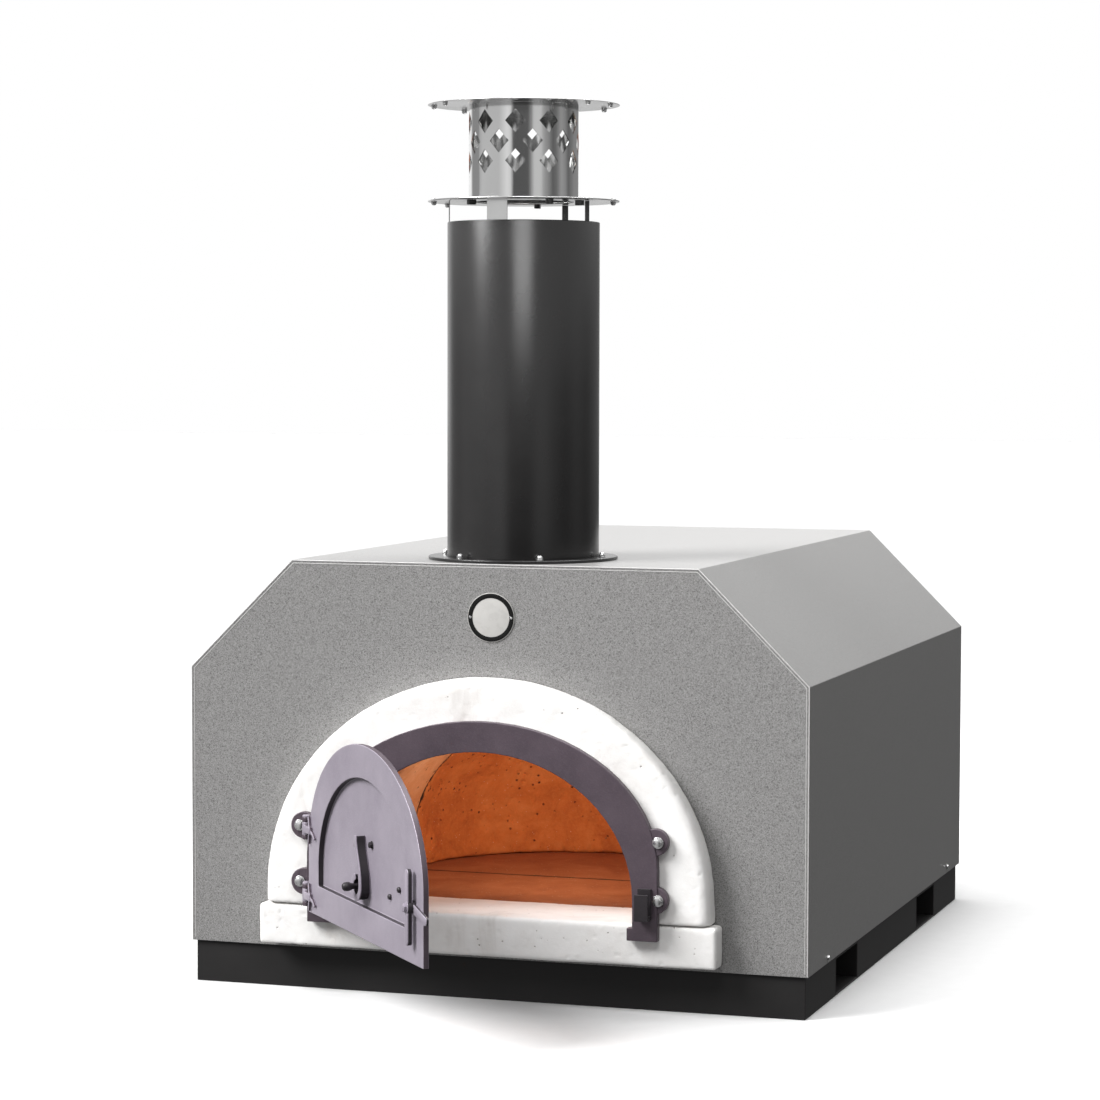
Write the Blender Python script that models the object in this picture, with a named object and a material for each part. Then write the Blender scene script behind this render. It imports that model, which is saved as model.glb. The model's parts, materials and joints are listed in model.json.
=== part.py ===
"""Wood fired pizza oven on a steel base, with its cast iron door standing open.

Metres, +Z up. The origin is on the floor at the middle of the base. The mouth faces -Y.
"""
import math

import bmesh
import bpy
from mathutils import Matrix, Vector

# ---------------------------------------------------------------- driving dimensions
GAP = 0.0003                      # clearance left between touching pieces
PAST = 0.010                      # how far a cutter runs past what it cuts

HOOD_WIDTH = 0.900
HOOD_DEPTH = 1.050
BASE_HEIGHT = 0.0585
WALL_TOP = 0.450                  # where the upright hood wall ends and the slope starts
ROOF_TOP = 0.6045
SHEET = 0.002                     # hood sheet thickness

FRONT = -HOOD_DEPTH / 2           # outer face of the front panel
REAR = HOOD_DEPTH / 2

BASE_WIDTH = 0.890
BASE_DEPTH = 1.040
BASE_TOP = BASE_HEIGHT - GAP
BASE_PLATE = 0.0034
FORK_CENTRE_Y = 0.2735
FORK_WIDTH = 0.132
FORK_LOW = 0.0005
FORK_HIGH = 0.0542
FORK_WALL = 0.0025
SPINE_HALF = 0.040                # half width of the strip that the base rests on at its middle
SPINE_STRIP = 0.0040

BOARD_TOP = 0.0902                # floor insulation
BOARD_EDGE = 0.012                # its distance from the hood's outside
HEARTH_TOP = 0.1215
HEARTH_HALF = 0.285
HEARTH_END = 0.095

CHAMBER_HALF = 0.236              # inside of the vault
CHAMBER_SPRING = 0.170
CHAMBER_APEX = 0.362
VAULT_WALL = 0.045
BLANKET = 0.052
VAULT_JOINT = FRONT + 0.330       # plane where the front and rear vault castings meet
APSE_DEPTH = 0.240

SILL_HALF = 0.332
SILL_LOW = 0.067
SILL_TOP = 0.1243
SILL_FRONT = FRONT - 0.036
SILL_BACK = FRONT + 0.095
NECK_HALF = 0.278                 # the sill's neck, which runs into the chamber

ARCH_HALF = 0.322
ARCH_SPRING = 0.150
ARCH_APEX = 0.4495
ARCH_FOOT = SILL_TOP + 0.0015
ARCH_FRONT = FRONT - 0.038
ARCH_ROUND = 0.010

MOUTH_HALF = 0.218                # opening of the iron frame
MOUTH_SPRING = 0.158
MOUTH_APEX = 0.3505
IRON_HALF = 0.2535
IRON_SPRING = 0.200
IRON_APEX = 0.3925
IRON_FOOT = 0.104
IRON_TOE = 0.0075                 # how far each leg's toe steps into the mouth
IRON_TOE_TOP = IRON_FOOT + 0.017
IRON_BACK = ARCH_FRONT - GAP
IRON_FRONT = FRONT - 0.050
BOLT_HEIGHTS = (0.160, 0.2385)
BOLT_LEFT_X = -0.264
BOLT_RIGHT_X = 0.2545
EAR_RADIUS = 0.0185
EAR_INSET = 0.005                 # how far the ear's centre lies inboard of its bolt
BOLT_SHANK = 0.0040

PIN = Vector((-0.2505, FRONT - 0.0575, 0.0))     # hinge axis of the door
PIN_RADIUS = 0.0035
KNUCKLE_RADIUS = 0.0062
KNUCKLE_HALF = 0.0090
LUG_THICK = 0.006
HINGE_HEIGHTS = (0.143, 0.236)
DOOR_OPEN = math.radians(49.5)    # how far the door stands open at rest

# Door pieces are drawn closed, from the hinge axis: x along the door, -y outwards.
DOOR_START = 0.011
DOOR_END = 0.471
DOOR_MIDDLE = (DOOR_START + DOOR_END) / 2
DOOR_HALF = (DOOR_END - DOOR_START) / 2
DOOR_FOOT = 0.121
DOOR_SPRING = 0.213
DOOR_APEX = 0.3780
DOOR_FACE = -0.0008
DOOR_BACK = 0.0072
DISH_HALF = 0.188
DISH_FOOT = 0.163
DISH_SPRING = 0.190
DISH_APEX = 0.3335
DISH_FLOOR = 0.0072
DISH_BACK = 0.0142
DISH_WALL = 0.006

SCROLL_TOP = (0.2260, 0.2560)     # upper end of the scroll handle
SCROLL_SWING = 0.0190
SCROLL_DROP = 0.0620
CURL = (0.2285, 0.1900)           # middle of its curl, where the knob stands
CURL_RADIUS = 0.0170
HANDLE_BOLTS = ((0.1974, 0.2396), (0.2554, 0.2477))
DOOR_STUDS = ((0.3277, 0.1901), (0.3632, 0.2046))

LATCH_X = 0.439
LATCH_Z = 0.195
LATCH_ARM = 0.049
LATCH_TONGUE = 0.055
LATCH_BORE = 0.0035
KEEPER_LEFT = 0.2265
KEEPER_RIGHT = 0.2455
KEEPER_LOW = 0.134
KEEPER_TOP = 0.176
KEEPER_LIP = 0.170                # top of its outer lip
KEEPER_SLOT = 0.0127

FLUE_Y = FRONT + 0.137            # chimney axis
PIPE_RADIUS = 0.107
PIPE_WALL = 0.0015
PIPE_TOP = 1.0768
LINER_RADIUS = 0.0765
LINER_LOW = 0.374
LINER_TOP = 1.035
LINER_WALL = 0.002
FLANGE_RADIUS = 0.1335
FLANGE_THICK = 0.0040
FLANGE_BOLT_CIRCLE = 0.1165

CAP_RADIUS = 0.1345
CAP_PLATE = 0.002
CAP_LOW = 1.1051
CAP_HIGH = 1.2397
BASKET_RADIUS = 0.0770
BASKET_WALL = 0.0015
DIAMOND_WIDTH = 0.0292
DIAMOND_HEIGHT = 0.0330
DIAMOND_ROWS = ((1.1592, -80.2), (1.1867, -62.2), (1.2142, -80.2))    # height, first world angle
DIAMONDS_PER_ROW = 10
LEGS = ((-92.0, 0.030), (-14.0, 0.010), (74.0, 0.010), (198.0, 0.010))    # world angle, width
LEG_THICK = 0.0015
LEG_LOW = 1.020

CAP_HOLE = 0.070                  # hole in the lower plate
BADGE_RADIUS = 0.034
BADGE_Z = 0.531
SCREW_PLACES = ((FRONT + 0.114, 0.0655), (FRONT + 0.947, 0.0680))

ARC = 32                          # segments along an arch
ROUND = 48                        # segments round a pipe

# ---------------------------------------------------------------- scene and materials
for old in list(bpy.data.objects):
    bpy.data.objects.remove(old, do_unlink=True)


def material(name, colour, roughness, metallic=0.0):
    made = bpy.data.materials.new(name)
    made.use_nodes = True
    shader = made.node_tree.nodes["Principled BSDF"]
    shader.inputs["Base Color"].default_value = (*colour, 1.0)
    shader.inputs["Roughness"].default_value = roughness
    shader.inputs["Metallic"].default_value = metallic
    return made


BLACK_STEEL = material("black_steel", (0.018, 0.017, 0.018), 0.5)
GREY_HOOD = material("grey_hammer_paint", (0.30, 0.29, 0.29), 0.45, 0.3)
CAST_WHITE = material("white_cast_stone", (0.84, 0.82, 0.79), 0.8)
CLAY = material("fired_clay", (0.62, 0.25, 0.09), 0.85)
BOARD = material("insulation", (0.80, 0.78, 0.72), 0.95)
IRON_DARK = material("iron_frame", (0.085, 0.070, 0.080), 0.5, 0.3)
IRON_LIGHT = material("iron_door", (0.36, 0.32, 0.36), 0.5, 0.4)
ZINC = material("zinc_plate", (0.72, 0.72, 0.72), 0.3, 1.0)
STAINLESS = material("stainless", (0.76, 0.76, 0.76), 0.15, 1.0)
PIPE_BLACK = material("pipe_black", (0.030, 0.029, 0.029), 0.42)
BADGE_PAINT = material("badge", (0.80, 0.79, 0.77), 0.35)


# ---------------------------------------------------------------- mesh helpers
def add(name, bm, finish, parent=None, place=(0.0, 0.0, 0.0), smooth=False):
    """Turn a bmesh into a named object with its faces pointing out."""
    bmesh.ops.recalc_face_normals(bm, faces=bm.faces)
    mesh = bpy.data.meshes.new(name)
    bm.to_mesh(mesh)
    bm.free()
    mesh.materials.append(finish)
    if smooth:
        mesh.shade_smooth()
        mesh.set_sharp_from_angle(angle=math.radians(35))
    made = bpy.data.objects.new(name, mesh)
    bpy.context.scene.collection.objects.link(made)
    made.parent = parent
    made.location = place
    return made


def loft(rings):
    """Skin a closed tube through rings of equal length and cap both ends."""
    bm = bmesh.new()
    rows = [[bm.verts.new(point) for point in ring] for ring in rings]
    count = len(rings[0])
    for lower, upper in zip(rows, rows[1:]):
        for i in range(count):
            j = (i + 1) % count
            bm.faces.new((lower[i], lower[j], upper[j], upper[i]))
    bm.faces.new(rows[0])
    bm.faces.new(rows[-1])
    return bm


def slab(points, low, high):
    """A prism along Y through an outline of (x, z) points."""
    return loft([[(x, y, z) for x, z in points] for y in (low, high)])


def upright(points, low, high):
    """A prism along Z through an outline of (x, y) points."""
    return loft([[(x, y, z) for x, y in points] for z in (low, high)])


def block(low, high):
    corners = [(low[0], low[1]), (high[0], low[1]), (high[0], high[1]), (low[0], high[1])]
    return upright(corners, low[2], high[2])


def circle(radius, count=ROUND, centre=(0.0, 0.0), start=0.0):
    return [(centre[0] + radius * math.cos(start + 2 * math.pi * i / count),
             centre[1] + radius * math.sin(start + 2 * math.pi * i / count)) for i in range(count)]


def tube(outer, inner, low, high, count=ROUND, centre=(0.0, 0.0)):
    """A hollow cylinder along Z."""
    bm = bmesh.new()
    rows = []
    for radius, z in ((outer, low), (outer, high), (inner, high), (inner, low)):
        rows.append([bm.verts.new((x, y, z)) for x, y in circle(radius, count, centre)])
    for k in range(4):
        lower, upper = rows[k], rows[(k + 1) % 4]
        for i in range(count):
            j = (i + 1) % count
            bm.faces.new((lower[i], lower[j], upper[j], upper[i]))
    return bm


def stud(profile, count, start=0.0):
    """A solid turned along Z from (radius, height) pairs."""
    return loft([[(x, y, z) for x, y in circle(radius, count, start=start)] for radius, z in profile])


def arch(half, foot, spring, apex, middle=0.0, count=ARC):
    """(x, z) points from the right foot over the crown to the left foot."""
    points = [(middle + half, foot)]
    for i in range(count + 1):
        turn = math.pi * i / count
        points.append((middle + half * math.cos(turn), spring + (apex - spring) * math.sin(turn)))
    points.append((middle - half, foot))
    return points


def arch_ring(outer, inner, low, high):
    """An arch-shaped band along Y between two arch outlines."""
    return slab(outer + inner[::-1], low, high)


def guide(name, bm, parent=None, place=(0.0, 0.0, 0.0)):
    """A cutter or a joining shape, which is not part of the oven itself."""
    made = add(name, bm, BLACK_STEEL, parent, place)
    made.hide_render = True
    made.display_type = "WIRE"
    return made


def combine(body, other, operation):
    change = body.modifiers.new(operation.lower(), "BOOLEAN")
    change.operation = operation
    change.solver = "EXACT"
    change.object = other


def cut(body, bm, parent=None, place=(0.0, 0.0, 0.0)):
    combine(body, guide(body.name + "_cut", bm, parent, place), "DIFFERENCE")


def join(body, bm, parent=None, place=(0.0, 0.0, 0.0)):
    combine(body, guide(body.name + "_join", bm, parent, place), "UNION")


def turned(bm, matrix):
    bmesh.ops.transform(bm, matrix=matrix, verts=bm.verts)
    return bm


OUTWARD = Matrix.Rotation(math.radians(90), 4, "X")       # turns +Z to -Y


# ---------------------------------------------------------------- base and floor
def make_base():
    half_x, half_y = BASE_WIDTH / 2, BASE_DEPTH / 2
    base = add("base_frame", block((-half_x, -half_y, 0), (half_x, half_y, BASE_TOP)), BLACK_STEEL)
    inner_x = half_x - BASE_PLATE
    roof = BASE_TOP - BASE_PLATE
    fork_half = FORK_WIDTH / 2 + FORK_WALL + GAP
    web = BASE_PLATE / 2
    for side in (-1, 1):
        # one hollow from the middle strip to the end skirt, crossed by the fork tunnel
        near, far = sorted((side * SPINE_HALF, side * (half_y - BASE_PLATE)))
        cut(base, block((-inner_x, near, -PAST), (inner_x, far, roof)))
        # the strip itself is thin, with one web along its middle
        near, far = sorted((side * web, side * (SPINE_HALF + PAST)))
        cut(base, block((-inner_x, near, SPINE_STRIP), (inner_x, far, roof)))
        middle = side * FORK_CENTRE_Y
        cut(base, block((-half_x - PAST, middle - fork_half, -PAST),
                        (half_x + PAST, middle + fork_half, FORK_HIGH + GAP)))


def make_fork_tunnel(name, middle):
    reach = BASE_WIDTH / 2
    half = FORK_WIDTH / 2
    outer = [(middle - half - FORK_WALL, FORK_LOW), (middle + half + FORK_WALL, FORK_LOW),
             (middle + half + FORK_WALL, FORK_HIGH), (middle - half - FORK_WALL, FORK_HIGH)]
    inner = [(middle - half, FORK_LOW + FORK_WALL), (middle + half, FORK_LOW + FORK_WALL),
             (middle + half, FORK_HIGH - FORK_WALL), (middle - half, FORK_HIGH - FORK_WALL)]
    bm = bmesh.new()
    rows = []
    for outline, x in ((outer, -reach), (outer, reach), (inner, reach), (inner, -reach)):
        rows.append([bm.verts.new((x, y, z)) for y, z in outline])
    for k in range(4):
        lower, upper = rows[k], rows[(k + 1) % 4]
        for i in range(4):
            j = (i + 1) % 4
            bm.faces.new((lower[i], lower[j], upper[j], upper[i]))
    add(name, bm, BLACK_STEEL)


def make_floor():
    side = HOOD_WIDTH / 2 - BOARD_EDGE
    board = block((-side, FRONT + BOARD_EDGE, BASE_HEIGHT), (side, REAR - BOARD_EDGE, BOARD_TOP))
    add("floor_insulation_board", board, BOARD)
    low = BOARD_TOP + GAP
    add("hearth_front_slab",
        block((-HEARTH_HALF, SILL_BACK + GAP, low), (HEARTH_HALF, VAULT_JOINT, HEARTH_TOP)), CLAY)
    add("hearth_rear_slab",
        block((-HEARTH_HALF, VAULT_JOINT + GAP, low), (HEARTH_HALF, HEARTH_END, HEARTH_TOP)), CLAY)
    front = block((-SILL_HALF, SILL_FRONT, SILL_LOW), (SILL_HALF, FRONT - GAP, SILL_TOP))
    sill = add("sill_slab", front, CAST_WHITE)
    join(sill, block((-NECK_HALF, FRONT - PAST, low), (NECK_HALF, SILL_BACK, SILL_TOP)))


# ---------------------------------------------------------------- chamber
def make_vault_front():
    floor = SILL_TOP + GAP
    outer = arch(CHAMBER_HALF + VAULT_WALL, floor, CHAMBER_SPRING, CHAMBER_APEX + VAULT_WALL)
    inner = arch(CHAMBER_HALF, floor, CHAMBER_SPRING, CHAMBER_APEX)
    vault = add("vault_front", arch_ring(outer, inner, FRONT, VAULT_JOINT), CLAY, smooth=True)
    bore = circle(LINER_RADIUS + GAP, centre=(0, FLUE_Y))
    cut(vault, upright(bore, CHAMBER_SPRING + PAST, CHAMBER_APEX + VAULT_WALL + PAST))


def dome(thickness, grow, floor, depth_y):
    """A quarter ellipsoid shell behind the vault joint, open to the front and below."""
    bm = bmesh.new()
    rows_up, rows_round = 8, 20
    shells = []
    for extra in (grow, grow + thickness):
        half = CHAMBER_HALF + extra
        deep = APSE_DEPTH + extra
        rise = CHAMBER_APEX + extra - CHAMBER_SPRING
        rows = [[(half * math.cos(math.pi * i / rows_round), deep * math.sin(math.pi * i / rows_round), floor)
                 for i in range(rows_round + 1)]]
        for k in range(rows_up):
            lift = 0.5 * math.pi * k / rows_up
            rows.append([(half * math.cos(lift) * math.cos(math.pi * i / rows_round),
                          deep * math.cos(lift) * math.sin(math.pi * i / rows_round),
                          CHAMBER_SPRING + rise * math.sin(lift)) for i in range(rows_round + 1)])
        grid = [[bm.verts.new((x, depth_y + y, z)) for x, y, z in row] for row in rows]
        crown = bm.verts.new((0.0, depth_y, CHAMBER_SPRING + rise))
        shells.append((grid, crown))
        for lower, upper in zip(grid, grid[1:]):
            for i in range(rows_round):
                bm.faces.new((lower[i], lower[i + 1], upper[i + 1], upper[i]))
        for i in range(rows_round):
            bm.faces.new((grid[-1][i], grid[-1][i + 1], crown))
    (inside, inside_crown), (outside, outside_crown) = shells
    for i in range(rows_round):
        bm.faces.new((inside[0][i], inside[0][i + 1], outside[0][i + 1], outside[0][i]))
    for edge in (0, rows_round):
        for k in range(len(inside) - 1):
            bm.faces.new((inside[k][edge], inside[k + 1][edge], outside[k + 1][edge], outside[k][edge]))
        bm.faces.new((inside[-1][edge], inside_crown, outside_crown, outside[-1][edge]))
    return bm


def make_chamber():
    make_vault_front()
    add("vault_rear", dome(VAULT_WALL, 0.0, HEARTH_TOP + GAP, VAULT_JOINT + GAP), CLAY, smooth=True)
    grow = VAULT_WALL + GAP
    floor = HEARTH_TOP + GAP
    outer = arch(CHAMBER_HALF + grow + BLANKET, floor, CHAMBER_SPRING, CHAMBER_APEX + grow + BLANKET)
    inner = arch(CHAMBER_HALF + grow, floor, CHAMBER_SPRING, CHAMBER_APEX + grow)
    blanket = add("insulation_blanket_front",
                  arch_ring(outer, inner, FRONT + SHEET + GAP, VAULT_JOINT), BOARD, smooth=True)
    bore = circle(LINER_RADIUS + GAP, centre=(0, FLUE_Y))
    cut(blanket, upright(bore, CHAMBER_SPRING + PAST, CHAMBER_APEX + grow + BLANKET + PAST))
    add("insulation_blanket_rear", dome(BLANKET, grow, floor, VAULT_JOINT + GAP), BOARD, smooth=True)
    # a block fills the rest of the hood behind the chamber
    behind = VAULT_JOINT + APSE_DEPTH + grow + BLANKET + SHEET
    fill = [(x, max(z, BOARD_TOP + GAP)) for x, z in hood_outline(2 * SHEET)]
    add("insulation_block_rear", slab(fill, behind, REAR - 2 * SHEET), BOARD)


# ---------------------------------------------------------------- front surround and iron frame
def make_arch_surround():
    inner = arch(MOUTH_HALF + 0.004, ARCH_FOOT, MOUTH_SPRING, MOUTH_APEX + 0.004)
    stations = []
    for y, inset in ((FRONT - GAP, 0.0), (ARCH_FRONT + ARCH_ROUND, 0.0),
                     (ARCH_FRONT + 0.3 * ARCH_ROUND, 0.3 * ARCH_ROUND), (ARCH_FRONT, ARCH_ROUND)):
        outer = arch(ARCH_HALF - inset, ARCH_FOOT, ARCH_SPRING, ARCH_APEX - inset)
        stations.append([(x, y, z) for x, z in outer + inner[::-1]])
    add("arch_surround", loft(stations), CAST_WHITE, smooth=True)


def bolt_places():
    """(name, x, z) of the four bolts that hold the iron frame."""
    places = []
    for side, x in (("left", BOLT_LEFT_X), ("right", BOLT_RIGHT_X)):
        for level, z in zip(("lower", "upper"), BOLT_HEIGHTS):
            places.append((f"frame_bolt_{side}_{level}", x, z))
    return places


def make_door_frame():
    outer = arch(IRON_HALF, IRON_FOOT, IRON_SPRING, IRON_APEX)
    inner = arch(MOUTH_HALF, IRON_FOOT, MOUTH_SPRING, MOUTH_APEX)
    frame = add("door_frame", arch_ring(outer, inner, IRON_FRONT, IRON_BACK), IRON_DARK, smooth=True)
    for side in (-1, 1):
        near, far = sorted((side * (MOUTH_HALF - IRON_TOE), side * (MOUTH_HALF + 0.010)))
        join(frame, block((near, IRON_FRONT, IRON_FOOT), (far, IRON_BACK, IRON_TOE_TOP)))
    for _, x, z in bolt_places():
        inboard = EAR_INSET if x < 0 else -EAR_INSET
        ear = [(x + inboard + dx, z + dz) for dx, dz in circle(EAR_RADIUS, 24)]
        join(frame, slab(ear, IRON_FRONT + 0.001, IRON_BACK))
    for height in HINGE_HEIGHTS:
        for side in (-1, 1):
            near = height + side * (KNUCKLE_HALF + GAP)
            low, high = sorted((near, near + side * LUG_THICK))
            join(frame, upright(lug_outline(), low, high))
        bore = circle(PIN_RADIUS + GAP, 16, (PIN.x, PIN.y))
        reach = KNUCKLE_HALF + LUG_THICK + PAST
        cut(frame, upright(bore, height - reach, height + reach))
    for _, x, z in bolt_places():
        hole = [(x + dx, z + dz) for dx, dz in circle(BOLT_SHANK + GAP, 16)]
        cut(frame, slab(hole, IRON_FRONT - PAST, IRON_BACK + PAST))


def lug_outline():
    """(x, y) points of one hinge lug: round about the pin, running back into the frame."""
    round_end = []
    for degrees in range(180, 361, 20):
        turn = math.radians(degrees)
        round_end.append((PIN.x + KNUCKLE_RADIUS * math.cos(turn), PIN.y + KNUCKLE_RADIUS * math.sin(turn)))
    root = IRON_FRONT + 0.004
    return round_end + [(PIN.x + KNUCKLE_RADIUS, root), (PIN.x - KNUCKLE_RADIUS, root)]


def make_frame_bolts():
    depth = IRON_BACK - IRON_FRONT - GAP
    profile = [(BOLT_SHANK, -depth), (BOLT_SHANK, GAP), (0.0064, GAP), (0.0064, 0.0060), (0.0050, 0.0075)]
    for name, x, z in bolt_places():
        add(name, turned(stud(profile, 12), OUTWARD), ZINC, place=(x, IRON_FRONT, z))


def make_hinge_pins():
    reach = KNUCKLE_HALF + GAP + LUG_THICK
    profile = [(PIN_RADIUS, -reach), (PIN_RADIUS, reach + GAP), (0.0058, reach + GAP),
               (0.0058, reach + 0.0022), (0.0040, reach + 0.0036)]
    for level, height in zip(("lower", "upper"), HINGE_HEIGHTS):
        add(f"hinge_pin_{level}", stud(profile, 16), IRON_LIGHT, place=(PIN.x, PIN.y, height), smooth=True)


def make_keeper():
    """A J-shaped catch, open at the top, that the latch tongue drops into."""
    back = IRON_FRONT - GAP
    plate = 0.003
    inner = back - plate
    lip = inner - KEEPER_SLOT
    outline = [(back, KEEPER_LOW), (back, KEEPER_TOP), (inner, KEEPER_TOP), (inner, KEEPER_LOW + 0.005),
               (lip, KEEPER_LOW + 0.005), (lip, KEEPER_LIP), (lip - plate, KEEPER_LIP),
               (lip - plate, KEEPER_LOW)]
    bm = loft([[(x, y, z) for y, z in outline] for x in (KEEPER_LEFT, KEEPER_RIGHT)])
    add("latch_keeper", bm, IRON_DARK)


# ---------------------------------------------------------------- door and latch
def make_door(hinge):
    rim = arch(DOOR_HALF, DOOR_FOOT, DOOR_SPRING, DOOR_APEX, DOOR_MIDDLE)
    door = add("door_plate", slab(rim, DOOR_FACE, DOOR_BACK), IRON_LIGHT, hinge, smooth=True)
    dish = arch(DISH_HALF + DISH_WALL, DISH_FOOT - DISH_WALL, DISH_SPRING, DISH_APEX + DISH_WALL,
                DOOR_MIDDLE)
    join(door, slab(dish, DOOR_FACE + 0.003, DISH_BACK), hinge)
    recess = arch(DISH_HALF, DISH_FOOT, DISH_SPRING, DISH_APEX, DOOR_MIDDLE)
    cut(door, slab(recess, DOOR_FACE - PAST, DISH_FLOOR), hinge)


def make_straps(hinge):
    front = DOOR_FACE - GAP
    for level, height in zip(("lower", "upper"), HINGE_HEIGHTS):
        bm = upright([(0.002, front - 0.005), (0.048, front - 0.005), (0.048, front), (0.002, front)],
                     height - KNUCKLE_HALF, height + KNUCKLE_HALF)
        strap = add(f"hinge_strap_{level}", bm, IRON_LIGHT, hinge, smooth=True)
        join(strap, upright(circle(KNUCKLE_RADIUS, 24), height - KNUCKLE_HALF, height + KNUCKLE_HALF), hinge)
        reach = KNUCKLE_HALF + PAST
        cut(strap, upright(circle(PIN_RADIUS + GAP, 16), height - reach, height + reach), hinge)
        # the leaf spreads into a fork on the door's rim
        leaf = [(0.016, height - 0.020), (0.026, height - 0.020), (0.040, height - 0.006),
                (0.040, height + 0.006), (0.026, height + 0.020), (0.016, height + 0.020)]
        join(strap, slab(leaf, front - 0.0035, front), hinge)


def ribbon(points, half, low, high):
    """A flat bar of even width along (x, z) points, extruded along Y."""
    left, right = [], []
    for i, point in enumerate(points):
        before = Vector(points[max(i - 1, 0)])
        after = Vector(points[min(i + 1, len(points) - 1)])
        along = (after - before).normalized()
        side = Vector((-along.y, along.x)) * half
        here = Vector(point)
        left.append(tuple(here + side))
        right.append(tuple(here - side))
    bm = bmesh.new()
    rows = []
    for y in (low, high):
        edges = [[bm.verts.new((x, y, z)) for x, z in side] for side in (left, right)]
        rows.append(edges)
    (low_left, low_right), (high_left, high_right) = rows
    last = len(points) - 1
    for i in range(last):
        bm.faces.new((low_left[i], low_left[i + 1], low_right[i + 1], low_right[i]))
        bm.faces.new((high_left[i], high_left[i + 1], high_right[i + 1], high_right[i]))
        bm.faces.new((low_left[i], low_left[i + 1], high_left[i + 1], high_left[i]))
        bm.faces.new((low_right[i], low_right[i + 1], high_right[i + 1], high_right[i]))
    for i in (0, last):
        bm.faces.new((low_left[i], low_right[i], high_right[i], high_left[i]))
    return bm


def scroll_path():
    """The handle: a slim S that ends in an open curl round the knob."""
    points = []
    for i in range(9):
        t = i / 8
        swing = 0.5 - 0.5 * math.cos(math.pi * t)
        points.append((SCROLL_TOP[0] + SCROLL_SWING * swing, SCROLL_TOP[1] - SCROLL_DROP * t))
    for i in range(1, 15):
        turn = math.radians(14 - 19.5 * i)
        shrink = CURL_RADIUS * (1 - 0.018 * i)
        points.append((CURL[0] + shrink * math.cos(turn), CURL[1] + shrink * math.sin(turn)))
    return points


def make_handle(hinge):
    face = DISH_FLOOR - GAP
    add("door_handle", ribbon(scroll_path(), 0.0030, face - 0.013, face), IRON_DARK, hinge, smooth=True)
    profile = [(0.0052, GAP), (0.0052, 0.0030), (0.0040, 0.0055)]
    for side, (x, z) in zip(("left", "right"), HANDLE_BOLTS):
        bolt = turned(stud(profile, 12), OUTWARD)
        add(f"handle_bolt_{side}", bolt, IRON_DARK, hinge, (x, DISH_FLOOR, z))
    profile = [(0.0042, GAP), (0.0036, 0.014), (0.0062, 0.024), (0.0056, 0.030), (0.0020, 0.033)]
    knob = turned(stud(profile, 16), OUTWARD)
    add("handle_knob", knob, IRON_DARK, hinge, (CURL[0], DISH_FLOOR, CURL[1]), smooth=True)
    profile = [(0.0036, GAP), (0.0036, 0.0025), (0.0024, 0.0042)]
    for side, (x, z) in zip(("left", "right"), DOOR_STUDS):
        small = turned(stud(profile, 10), OUTWARD)
        add(f"door_stud_{side}", small, IRON_LIGHT, hinge, (x, DISH_FLOOR, z))


def make_latch(hinge):
    """A lever turning on a bolt, with a tongue behind it that reaches past the door."""
    front = DOOR_FACE - GAP
    hub_depth = 0.0114
    bar_depth = 0.0050
    tongue_depth = 0.0042
    pivot = (LATCH_X, 0.0, LATCH_Z)
    hub = slab(circle(0.0078, 24), front - hub_depth, front)
    lever = add("latch_lever", hub, IRON_LIGHT, hinge, pivot, smooth=True)
    bar = 0.0045
    waist = 0.0063
    grip = [(-bar, -LATCH_ARM), (bar, -LATCH_ARM), (waist, 0),
            (bar, LATCH_ARM), (-bar, LATCH_ARM), (-waist, 0)]
    join(lever, slab(grip, front - hub_depth, front - hub_depth + bar_depth), hinge, pivot)
    tongue = [(0.0, -0.0065), (LATCH_TONGUE - 0.008, -0.0170), (LATCH_TONGUE, -0.0140),
              (LATCH_TONGUE, -0.0065), (0.0, 0.0050)]
    join(lever, slab(tongue, front - tongue_depth, front), hinge, pivot)
    cut(lever, slab(circle(LATCH_BORE, 16), front - hub_depth - PAST, front + PAST), hinge, pivot)
    shank = LATCH_BORE - GAP
    top = hub_depth + 2 * GAP
    profile = [(shank, GAP), (shank, top), (0.0062, top), (0.0062, top + 0.0032), (0.0048, top + 0.0046)]
    pin = turned(stud(profile, 12), OUTWARD)
    add("latch_pivot_bolt", pin, ZINC, hinge, (LATCH_X, DOOR_FACE, LATCH_Z))


def make_door_set():
    hinge = bpy.data.objects.new("door_hinge_axis", None)
    bpy.context.scene.collection.objects.link(hinge)
    hinge.location = PIN
    hinge.rotation_euler = (0, 0, -DOOR_OPEN)
    make_door(hinge)
    make_straps(hinge)
    make_handle(hinge)
    make_latch(hinge)


# ---------------------------------------------------------------- hood
def hood_outline(inset):
    """(x, z) points of the hood section, with the sheet pushed in by inset."""
    half = HOOD_WIDTH / 2 - inset
    top = ROOF_TOP - inset
    slope = inset * math.tan(math.radians(22.5))
    wall = WALL_TOP - slope
    ridge = HOOD_WIDTH / 2 - (ROOF_TOP - WALL_TOP) - slope
    right = [(half, BASE_HEIGHT), (half, wall), (ridge, top)]
    return right + [(-x, z) for x, z in reversed(right)]


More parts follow.
